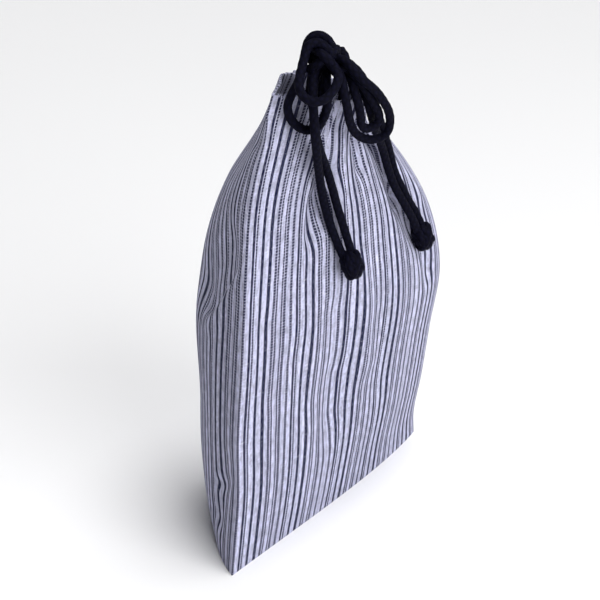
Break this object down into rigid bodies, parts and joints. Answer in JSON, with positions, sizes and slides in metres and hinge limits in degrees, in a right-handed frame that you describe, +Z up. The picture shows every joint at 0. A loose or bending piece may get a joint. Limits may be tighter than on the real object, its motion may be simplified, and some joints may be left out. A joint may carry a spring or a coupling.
{
  "type": "drawstring pouch",
  "caption": "Striped cotton drawstring pouch, puffed out and standing on its bottom, its gathered mouth drawn up under a dark cord tied in a bow with knotted ends.",
  "frame": {"origin": "middle of the front bottom seam, on the surface that the pouch stands on", "axes": "+Z up, +X along the pouch's width from its near folded edge to its far edge, front panel facing -Y"},
  "size_m": [0.2045, 0.11, 0.3124],
  "materials": {
    "striped_cotton": "matt woven",
    "braided_cord": "matt braided"
  },
  "bodies": {
    "root": {"pouch_cloth": "striped_cotton", "bow_knot": "braided_cord", "end_knot_front": "braided_cord", "end_knot_far": "braided_cord", "cord_rise_near_a": "braided_cord", "cord_rise_near_b": "braided_cord", "cord_rise_far_a": "braided_cord", "cord_rise_far_b": "braided_cord", "cord_loop_left_a": "braided_cord", "cord_loop_left_b": "braided_cord", "cord_loop_right_a": "braided_cord", "cord_loop_right_b": "braided_cord", "cord_tail_front_a": "braided_cord", "cord_tail_front_b": "braided_cord", "cord_tail_far_a": "braided_cord", "cord_tail_far_b": "braided_cord"}
  },
  "joints": []
}
